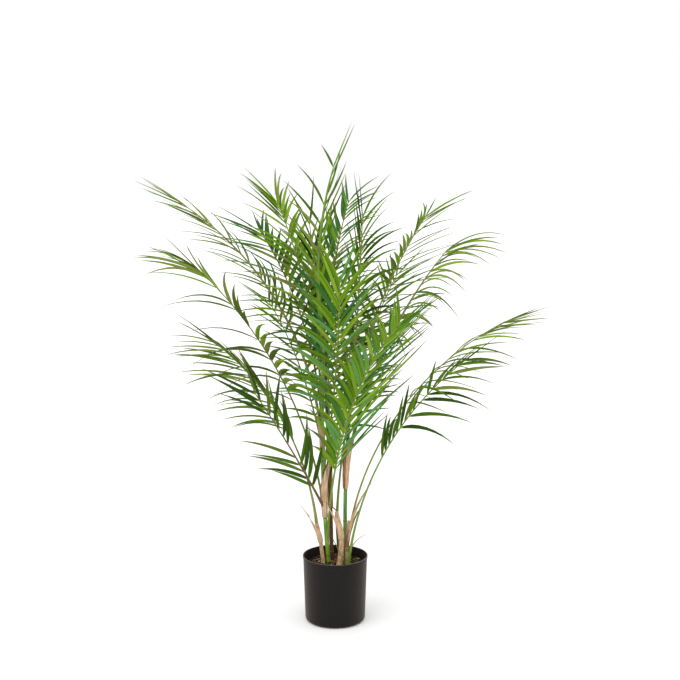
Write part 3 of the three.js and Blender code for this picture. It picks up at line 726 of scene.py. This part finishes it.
def stations(frond):
    """Each pair's number, how far it is from the first pair to the last, and its share of the rib."""
    pairs = round(frond["length"] * (1 - frond["bare"]) / frond["gap"])
    for pair in range(pairs):
        rise = 1 - (1 - (pair + 0.5) / pairs) ** (1 + frond.get("crowd", 0))
        yield pair, rise, mix(frond["bare"], 1, rise)


RIB_ROWS = 44
RIB_SIDES = 8
RIB_TAPER = 0.8
RIB_BELLY = 1.05
CHANNEL_DEPTH = 0.28
BASE_SWELL = 0.4
BASE_LENGTH = 0.05


def rib(pile, frond, arc, look):
    """A stalk with a shallow channel on its upper side and a swollen foot."""
    shares = np.linspace(0, 1, RIB_ROWS)
    places, _, acrosses, ups = arc.at(shares)
    radii = mix(PETIOLE_RADIUS, RIB_TIP_RADIUS, shares ** RIB_TAPER)
    belly = np.sin(np.pi * np.minimum(1, RIB_BELLY * shares)) ** 0.5
    radii *= 1 + (frond.get("stout", 1) - 1) * belly
    radii *= 1 + BASE_SWELL * np.exp(-shares * frond["length"] / BASE_LENGTH)
    channelled = 1 - CHANNEL_DEPTH * np.clip(np.sin(ring_angles(RIB_SIDES)), 0, 1) ** 2
    rings = ring_round(places, acrosses, ups, radii[:, None] * channelled, RIB_SIDES)
    if "foot" in frond:
        rings[0, :, 2] = FILL_TOP
    pile.sweep(rings, look)


def fronds():
    """Leaflets and ribs, joined by the side of the plant that they are on."""
    sides = {}
    for seed, (name, frond) in enumerate(FRONDS.items(), 1):
        sides.setdefault(name.split("_")[1], []).append((seed, name, frond))
    rib_looks = list(RIB_FINISHES)
    for where, members in sides.items():
        leaves, ribs = Pile(), Pile()
        for seed, name, frond in members:
            arc = frond_arc(frond)
            halves = HALVES.get(name, USUAL_HALVES)
            rib(ribs, frond, arc, rib_looks.index(frond["rib"]))
            for station in stations(frond):
                for side, hang in zip((-1, 1), halves):
                    if grows(hang, seed, station, side):
                        leaflet(leaves, frond, arc, hang, seed, station, side)
        names = [name for _, name, _ in members]
        settle(leaves.piece(f"leaflets_{where}", LEAF_FINISHES), "fronds", *names)
        settle(ribs.piece(f"ribs_{where}", list(RIB_FINISHES.values())), "fronds", *names)


# Canes with leaf scars.
CANE_SIDES = 20
CANE_STEP = 0.004
CANE_DEPTH = 0.008
RIDGE_DEPTH = 0.035
SCAR_HEIGHT = 0.0022
SCAR_SWELL = 0.09
SCAR_BAND = 0.6
SCAR_ROWS = (-1.2, -0.5, 0, 0.5, 1.2)
BARK, SCAR, LOW_BARK = range(3)


def cane(name, seed, look, scars=(), low_look=None, low_share=0.0):
    """A cane with a swollen ring where each leaf once sat, and fine ridges along it. The lowest
    low_share of it may have a look of its own."""
    arc = cane_arc(name)
    length = arc.length
    heights = set(np.linspace(-CANE_DEPTH, length, round(length / CANE_STEP)))
    for scar in scars:
        heights |= {scar + row * SCAR_HEIGHT for row in SCAR_ROWS}
    heights = np.array(sorted(height for height in heights if height <= length))
    shares = heights / length
    places, _, acrosses, ups = arc.at(shares)
    radii = cane_radius(name, np.maximum(shares, 0))
    for scar in scars:
        radii *= 1 + SCAR_SWELL * np.exp(-(((heights - scar) / SCAR_HEIGHT) ** 2))
    ridges = np.array([1 + RIDGE_DEPTH * wobble(seed, side) for side in range(CANE_SIDES)])
    rings = ring_round(places, acrosses, ups, radii[:, None] * ridges, CANE_SIDES)
    rows = (heights[:-1] + heights[1:]) / 2
    looks = np.full((len(rows), CANE_SIDES), BARK)
    looks[rows < low_share * length] = LOW_BARK
    for scar in scars:
        looks[np.abs(rows - scar) < SCAR_BAND * SCAR_HEIGHT] = SCAR
    pile = Pile()
    pile.sweep(rings, looks)
    return pile.piece(f"{name}_bark", [look, CANE_SCAR, low_look or look], sharp=60)


def canes():
    """The long canes, and the stubs of older leaves, which are dry but for the rear one."""
    barks = {
        "left_cane": dict(look=CANE_GREEN_STREAKS_AND_PAINTED_SHADE, scars=(0.018, 0.104, 0.235, 0.345, 0.42)),
        "right_cane": dict(look=CANE_MIDDLE_STREAKS_AND_PAINTED_SHADE, scars=(0.03, 0.095, 0.285, 0.36)),
        "rear_cane": dict(
            look=CANE_DEEP, scars=(0.02, 0.07, 0.235, 0.33), low_look=CANE_BROWN, low_share=0.3),
        "rear_stub": dict(look=CANE_DEEP),
    }
    for seed, name in enumerate(CANES, 1):
        slot = "canes" if name.endswith("cane") else "dry_bases"
        settle(cane(name, seed, **barks.get(name, dict(look=STUB_TAN))), slot, name)


# Dry leaf bases.
FIRST_HUSK_SEED = 31
SHEATH_AROUND = 28
SHEATH_ROWS = 26
HUSK_THICKNESS = 0.0007
HUSK_CLEAR = 0.0004
FOOT_GAPE = 0.15
CRUMPLES = 9
CRUMPLE_DEPTH = 0.00045
DENTS = (5, 6)
DENT_DEPTH = 0.0003
FOOT_CRUMPLE = 0.4
RAGGED_EDGE = 0.0035
RAGGED_FROM = 0.9
POINT_LEAN = 0.35


def husk(name, seed, setting, split, brown, slant, swell=0):
    """A papery sleeve, open along its far side by split radians at its mouth, with a ragged edge
    and a long point. brown is the share of the way round that is brown, slant is how much lower
    the far side ends, and swell is how much wider the mouth is than the setting says."""
    arc = cane_arc(setting["cane"])
    select_none()
    bpy.ops.mesh.primitive_grid_add(
        x_subdivisions=SHEATH_AROUND, y_subdivisions=SHEATH_ROWS, size=2, calc_uvs=True)
    piece = bpy.context.object
    piece.name = piece.data.name = f"{name}_husk"
    piece.data.uv_layers[0].name = "surface"
    faces = math.radians(setting["faces"])
    facing = np.array([math.cos(faces), math.sin(faces), 0])
    foot = cane_radius(setting["cane"], setting["start"]) + CLEAR
    mouth = setting["mouth"] - SHEATH_WALL
    for corner in piece.data.vertices:
        around, rise = (corner.co.x + 1) / 2, (corner.co.y + 1) / 2
        height = rise * (1 - slant * abs(2 * around - 1) ** 1.5)
        share = mix(setting["start"], setting["end"], height)
        place, along, across, up = (vectors[0] for vectors in arc.at(share))
        level = across * (facing @ across) + up * (facing @ up)
        front = unit(level)
        beside = np.cross(along, front)
        gape = split * mix(FOOT_GAPE, 1, rise ** 1.5)
        angle = (around - 0.5) * (2 * math.pi - gape)
        direction = front * math.cos(angle) + beside * math.sin(angle)
        bore = mix(foot, mouth, rise ** 2)
        crumple = CRUMPLE_DEPTH * wobble(seed, round(around * CRUMPLES))
        crumple += DENT_DEPTH * wobble(seed, round(around * DENTS[0]), round(rise * DENTS[1]))
        drawn_out = max(0, math.cos(angle)) ** 3 * rise ** 3 * setting["point"]
        torn = max(0, rise - RAGGED_FROM) / (1 - RAGGED_FROM)
        ragged = RAGGED_EDGE * torn * wobble(seed, round(around * SHEATH_AROUND), 3)
        reach = bore + HUSK_CLEAR + HUSK_THICKNESS
        reach += crumple * (FOOT_CRUMPLE + rise) + swell * rise ** 0.5
        shift = direction * reach + along * (drawn_out + ragged) + facing * POINT_LEAN * drawn_out
        corner.co = Vector(place + shift)
    wall = piece.modifiers.new("wall", "SOLIDIFY")
    wall.thickness = HUSK_THICKNESS
    wall.offset = 0
    rounding = piece.modifiers.new("rounding", "SUBSURF")
    rounding.levels = rounding.render_levels = 1
    for material in (HUSK_TAN, HUSK_BROWN):
        piece.data.materials.append(material)
    for face in piece.data.polygons:
        face.material_index = int(face.index % SHEATH_AROUND < brown * SHEATH_AROUND)
    apply_modifiers(piece)
    piece.data.polygons.foreach_set("use_smooth", [True] * len(piece.data.polygons))
    return piece


def husks():
    shapes = {
        "left_lower_sheath": dict(split=0.9, brown=0.1, slant=0.45, swell=0.0006),
        "left_upper_sheath": dict(split=1.2, brown=0.3, slant=0.2, swell=0.0004),
        "right_lower_sheath": dict(split=0.9, brown=0.32, slant=0.1, swell=0.0026),
        "rear_sheath": dict(split=1.4, brown=1.0, slant=0.2),
        "left_stub_sheath": dict(split=2.6, brown=0.0, slant=0.2),
        "middle_stub_sheath": dict(split=2.2, brown=0.15, slant=0.2),
        "right_stub_sheath": dict(split=2.4, brown=0.5, slant=0.3),
    }
    for seed, (name, setting) in enumerate(SHEATHS.items(), FIRST_HUSK_SEED):
        settle(husk(name, seed, setting, **shapes[name]), "dry_bases", name)


# Loose fibres and torn strips on the dry bases. radius is half the greatest width.
WISPS = {
    "left_fibre": dict(
        start=(-0.056, 0.003, 0.236), heading=184, lean=(44, 26), length=0.044, radius=0.0014),
    "right_fibre": dict(
        start=(0.034, -0.013, 0.164), heading=350, lean=(20, 76), length=0.066, radius=0.0016),
    "right_strip": dict(
        start=(0.026, -0.006, 0.165), heading=354, lean=(3, 38), length=0.172, radius=0.0052),
    "middle_fibre": dict(
        start=(0.016, -0.026, 0.150), heading=184, lean=(24, 28), length=0.070, radius=0.0015),
    "middle_tip": dict(
        start=(0.002, -0.016, 0.256), heading=186, lean=(40, 60), length=0.036, radius=0.0022),
    "left_torn_tip": dict(
        start=(-0.014, 0.000, 0.338), heading=348, lean=(6, 34), length=0.034, radius=0.0018),
    "right_torn_tip": dict(
        start=(0.034, 0.004, 0.384), heading=350, lean=(12, 34), length=0.026, radius=0.0012),
}
FIRST_WISP_SEED = 61
WISP_ROWS = 14
WISP_SIDES = 6
WISP_FLATNESS = 0.3
WISP_FOOT = 0.5
WISP_WIDEST_AT = 0.4
WISP_TAPER = 0.8
WISP_POINT = 0.06
WISP_SWAY = 0.0006
WISP_KINKS = 3


def wisps():
    strips = Pile()
    angles = ring_angles(WISP_SIDES)
    flat = np.sqrt(np.cos(angles) ** 2 * WISP_FLATNESS ** 2 + np.sin(angles) ** 2)
    shares = np.linspace(0, 1, WISP_ROWS)
    belly = mix(WISP_FOOT, 1, np.minimum(1, shares / WISP_WIDEST_AT))
    taper = np.maximum((1 - shares) ** WISP_TAPER, WISP_POINT)
    for seed, (name, wisp) in enumerate(WISPS.items(), FIRST_WISP_SEED):
        arc = Arc(wisp["start"], wisp["heading"], wisp["lean"], wisp["length"])
        places, _, acrosses, ups = arc.at(shares)
        sway = np.array([wobble(seed, round(share * WISP_KINKS)) for share in shares])
        places = places + acrosses * (WISP_SWAY * sway * shares)[:, None]
        radii = wisp["radius"] * belly * taper
        rings = ring_round(places, acrosses, ups, radii[:, None] * flat, WISP_SIDES)
        strips.sweep(rings, int("middle" in name))
    settle(strips.piece("dry_wisps", [HUSK_TAN, HUSK_BROWN], sharp=60), "dry_bases")


# Pot.
POT_SIDES = 96
FOOT_STEPS = 5
LIP_THICKNESS = 0.0018
LIP_ROUND = 0.0006
LIP_CORNER = 0.3 * LIP_ROUND
STAND_WIDTH = 0.004
STAND_HEIGHT = 0.0015
STAND_SLOPE = 0.001
HOLLOW_WIDTH = 0.012
POT_SHARP = 35
NEAR = 1e-5


def pick(piece, wanted):
    """Selects, in edit mode, the corners that wanted accepts."""
    mesh = bmesh.from_edit_mesh(piece.data)
    for corner in mesh.verts:
        corner.select = wanted(corner.co)
    mesh.select_flush_mode()
    mesh.select_flush(True)
    bmesh.update_edit_mesh(piece.data)


def pull_ring(rings):
    """Extrudes the selected ring from its (radius, height), the first, through the others."""
    (radius, height), *others = rings
    for next_radius, next_height in others:
        bpy.ops.mesh.extrude_region_move(TRANSFORM_OT_translate={"value": (0, 0, next_height - height)})
        share = next_radius / radius
        bpy.ops.transform.resize(value=(share, share, 1), center_override=(0, 0, next_height))
        radius, height = next_radius, next_height


def pot():
    """The shell, pulled from its hollow underside up the wall, over the lip and down inside."""
    foot = BODY_FOOT_RADIUS - POT_FOOT_ROUND
    lip_foot = POT_HEIGHT - LIP_HEIGHT
    select_none()
    bpy.ops.mesh.primitive_circle_add(vertices=POT_SIDES, radius=foot, fill_type="NOTHING")
    piece = bpy.context.object
    piece.name = piece.data.name = "pot_shell"
    bpy.ops.object.mode_set(mode="EDIT")
    bpy.ops.mesh.select_mode(type="VERT")
    bpy.ops.mesh.select_all(action="SELECT")
    pull_ring([
        (foot, 0),
        (foot - STAND_WIDTH, 0),
        (foot - STAND_WIDTH - STAND_SLOPE, STAND_HEIGHT),
        (foot - HOLLOW_WIDTH, STAND_HEIGHT),
    ])
    bpy.ops.mesh.edge_face_add()
    pick(piece, lambda place: abs(math.hypot(place.x, place.y) - foot) < NEAR)
    angles = [math.pi / 2 * step / FOOT_STEPS for step in range(FOOT_STEPS + 1)]
    rounded = [
        (foot + POT_FOOT_ROUND * math.sin(angle), POT_FOOT_ROUND * (1 - math.cos(angle)))
        for angle in angles]
    inner_top = RIM_RADIUS - LIP_THICKNESS
    lip = [
        (BODY_TOP_RADIUS, lip_foot),
        (RIM_RADIUS - LIP_ROUND / 2, lip_foot + LIP_ROUND),
        (RIM_RADIUS, lip_foot + LIP_ROUND),
        (RIM_RADIUS, POT_HEIGHT - LIP_ROUND),
        (RIM_RADIUS - LIP_CORNER, POT_HEIGHT - LIP_CORNER),
        (RIM_RADIUS - LIP_ROUND, POT_HEIGHT),
        (inner_top + LIP_ROUND, POT_HEIGHT),
        (inner_top + LIP_CORNER, POT_HEIGHT - LIP_CORNER),
        (inner_top, POT_HEIGHT - LIP_ROUND),
    ]
    inside = [
        (BODY_FOOT_RADIUS - POT_WALL, POT_FOOT_ROUND),
        (BODY_FOOT_RADIUS - POT_WALL - POT_FLOOR, POT_FLOOR),
    ]
    pull_ring(rounded + lip + inside)
    bpy.ops.mesh.edge_face_add()
    bpy.ops.mesh.select_all(action="SELECT")
    bpy.ops.mesh.remove_doubles(threshold=NEAR / 10)
    bpy.ops.mesh.normals_make_consistent(inside=False)
    bpy.ops.object.mode_set(mode="OBJECT")
    bpy.ops.object.shade_smooth_by_angle(angle=math.radians(POT_SHARP))
    for material in (POT_BLACK, POT_LIP_PAINTED_HIGHLIGHT):
        piece.data.materials.append(material)
    # The faces on top of the lip take the lighter finish, a painted highlight along the rim.
    for face in piece.data.polygons:
        face.material_index = int(face.center.z > POT_HEIGHT - LIP_ROUND)
    settle(piece, "pot", "pot")


# What fills the pot.
FILL_GRID = 90
FILL_RADIUS = mix(BODY_FOOT_RADIUS, BODY_TOP_RADIUS, FILL_TOP / POT_HEIGHT) - POT_WALL - CLEAR
FILL_SKIRT = 0.02
FILL_SINK = 0.001
FILL_LUMPS = dict(scale=90, height=0.0028, layer=0)
FILL_GRAIN = dict(scale=260, height=0.0012, layer=5)


def lumps(x, y, scale, height, layer):
    return noise.noise(Vector((x * scale, y * scale, layer))) * height


def fill_height(x, y):
    return FILL_TOP - FILL_SINK + (lumps(x, y, **FILL_LUMPS) + lumps(x, y, **FILL_GRAIN))


def fill():
    """The rough top of the fill, with a skirt that goes down inside the pot."""
    select_none()
    bpy.ops.mesh.primitive_grid_add(x_subdivisions=FILL_GRID, y_subdivisions=FILL_GRID, size=2)
    piece = bpy.context.object
    piece.name = piece.data.name = "fill_top"
    for corner in piece.data.vertices:
        x, y = corner.co.x, corner.co.y
        radius = max(abs(x), abs(y))
        reach = math.hypot(x, y) or 1
        x, y = x / reach * radius * FILL_RADIUS, y / reach * radius * FILL_RADIUS
        corner.co = (x, y, fill_height(x, y))
    bpy.ops.object.mode_set(mode="EDIT")
    bpy.ops.mesh.select_all(action="DESELECT")
    bpy.ops.mesh.select_mode(type="EDGE")
    bpy.ops.mesh.select_non_manifold()
    bpy.ops.mesh.extrude_region_move(TRANSFORM_OT_translate={"value": (0, 0, -FILL_SKIRT)})
    bpy.ops.mesh.edge_face_add()
    bpy.ops.mesh.select_all(action="SELECT")
    bpy.ops.mesh.normals_make_consistent(inside=False)
    bpy.ops.object.mode_set(mode="OBJECT")
    bpy.ops.object.shade_smooth()
    piece.data.materials.append(FILL_BROWN)
    settle(piece, "fill", "fill")


CHIPS = 620
CHIP_SIDES = 6
CHIP_MARGIN = 0.006
CHIP_LENGTHS = (0.002, 0.008)
CHIP_WIDTHS = (0.0012, 0.0034)
CHIP_THICKNESSES = (0.0006, 0.0018)
CHIP_SHARES = (0.66, 0.22, 0.12)
CHIP_TILT = 0.35
CHIP_RAGGED = (0.7, 1.1)
CHIP_SINK = 0.4
CHIP_STACK = (0, 0.0012)
CHIP_UNDERSIDE = 0.8
CHIP_TOPS = (0.6, 0.85)
STRAWS = 130
STRAW_ROWS = 6
STRAW_SIDES = 5
STRAW_MARGIN = 0.012
STRAW_LENGTHS = (0.008, 0.026)
STRAW_RADII = (0.0002, 0.0006)
STRAW_HEIGHT = 0.0018
STRAW_SLOPES = (-0.1, 0.15)
STRAW_BEND = 0.15
STRAW_BOWS = (-0.002, 0.003)
STRAW_TAPER = 1.2
SEED = 5


def strewn(random, margin):
    """A random place on the fill that keeps a margin from its edge."""
    radius = (FILL_RADIUS - margin) * math.sqrt(random.random())
    heading = random.random() * 2 * math.pi
    return radius * math.cos(heading), radius * math.sin(heading)


def chip(random):
    """The three rings of a flat, tilted flake of bark."""
    x, y = strewn(random, CHIP_MARGIN)
    length, width = random.uniform(*CHIP_LENGTHS), random.uniform(*CHIP_WIDTHS)
    thickness = random.uniform(*CHIP_THICKNESSES)
    turn, tilt = random.random() * math.pi, random.normal(0, CHIP_TILT)
    along = np.array([math.cos(turn) * math.cos(tilt), math.sin(turn) * math.cos(tilt), math.sin(tilt)])
    across = unit(np.cross(SKY, along))
    up = np.cross(along, across)
    angles = 2 * np.pi * np.arange(CHIP_SIDES) / CHIP_SIDES
    ragged = random.uniform(*CHIP_RAGGED, (CHIP_SIDES, 1))
    outline = np.stack([np.cos(angles) * length, np.sin(angles) * width], axis=1) * ragged
    centre = np.array([x, y, fill_height(x, y) + CHIP_SINK * thickness + random.uniform(*CHIP_STACK)])
    flat = outline[:, :1] * along + outline[:, 1:] * across
    return np.stack([
        centre + flat * CHIP_UNDERSIDE - up * thickness,
        centre + flat,
        centre + flat * random.uniform(*CHIP_TOPS) + up * thickness])


def straw(random):
    """The rings of a thin bent straw."""
    x, y = strewn(random, STRAW_MARGIN)
    length = random.uniform(*STRAW_LENGTHS)
    turn = random.random() * 2 * math.pi
    along = np.array([math.cos(turn), math.sin(turn), random.uniform(*STRAW_SLOPES)])
    across = np.cross(SKY, along)
    rows = np.linspace(-0.5, 0.5, STRAW_ROWS)[:, None]
    places = np.array([x, y, fill_height(x, y) + STRAW_HEIGHT]) + along * rows * length
    places = places + across * random.normal(0, STRAW_BEND) * length * (rows ** 2 * 4 - 0.5)
    places = places + SKY * random.uniform(*STRAW_BOWS) * (1 - 4 * rows ** 2)
    radii = random.uniform(*STRAW_RADII) * (1 - STRAW_TAPER * rows ** 2)
    acrosses, ups = (np.tile(vector, (STRAW_ROWS, 1)) for vector in (across, SKY))
    return ring_round(places, acrosses, ups, radii, STRAW_SIDES)


def chips_and_straw():
    """Bark chips and straw strewn on the fill."""
    random = np.random.default_rng(SEED)
    bark, straws = Pile(), Pile()
    for _ in range(CHIPS):
        bark.sweep(chip(random), int(random.choice(len(CHIP_SHARES), p=CHIP_SHARES)))
    for _ in range(STRAWS):
        straws.sweep(straw(random))
    settle(bark.piece("bark_chips", CHIP_FINISHES, sharp=30), "fill")
    settle(straws.piece("straw_bits", [STRAW]), "fill")


# Studio.
FLOOR_REACH = 40.0
WORLD_LIGHT = 1.0
LAMPS = {
    "key": dict(toward=(-0.6, -1.0, 1.1), spread=70, strength=1.1),
    "side": dict(toward=(1.1, -0.8, 0.7), spread=80, strength=0.4),
}
LENS = 63.26
SENSOR_WIDTH = 36
CAMERA_PLACE = (0.0108, -2.58, 1.01)
CAMERA_DIP = 8.27


def studio():
    """A white floor in a white world, and two broad lamps."""
    select_none()
    bpy.ops.mesh.primitive_plane_add(size=2, location=(0, 0, 0))
    floor = bpy.context.object
    floor.name = floor.data.name = "floor"
    bpy.ops.object.mode_set(mode="EDIT")
    bpy.ops.transform.resize(value=(FLOOR_REACH, FLOOR_REACH, 1))
    bpy.ops.mesh.subdivide(number_cuts=3)
    bpy.ops.object.mode_set(mode="OBJECT")
    floor.data.materials.append(patchy_finish(
        "studio_white", (0.97, 0.97, 0.97, 1), (0.96, 0.96, 0.96, 1),
        scale=2, roughness=(0.9, 1.0), specular=0.1))

    world = bpy.data.worlds.new("studio")
    world.use_nodes = True
    background = world.node_tree.nodes["Background"]
    background.inputs["Color"].default_value = (1, 1, 1, 1)
    background.inputs["Strength"].default_value = WORLD_LIGHT
    bpy.context.scene.world = world
    for name, setting in LAMPS.items():
        lamp(name, **setting)


def lamp(name, toward, spread, strength):
    """A broad soft lamp that shines from one direction."""
    light = bpy.data.lights.new(name, "SUN")
    light.angle, light.energy = math.radians(spread), strength
    made = bpy.data.objects.new(name, light)
    made.location = toward
    made.rotation_euler = Vector(toward).to_track_quat("Z", "Y").to_euler()
    bpy.context.scene.collection.objects.link(made)


def camera():
    lens = bpy.data.cameras.new("camera")
    lens.lens, lens.sensor_width = LENS, SENSOR_WIDTH
    made = bpy.data.objects.new("camera", lens)
    made.location = CAMERA_PLACE
    made.rotation_euler = (math.radians(90 - CAMERA_DIP), 0, 0)
    bpy.context.scene.collection.objects.link(made)
    bpy.context.scene.camera = made


fronds()
canes()
husks()
wisps()
pot()
fill()
chips_and_straw()
studio()
camera()
bpy.context.scene.view_settings.view_transform = "Standard"
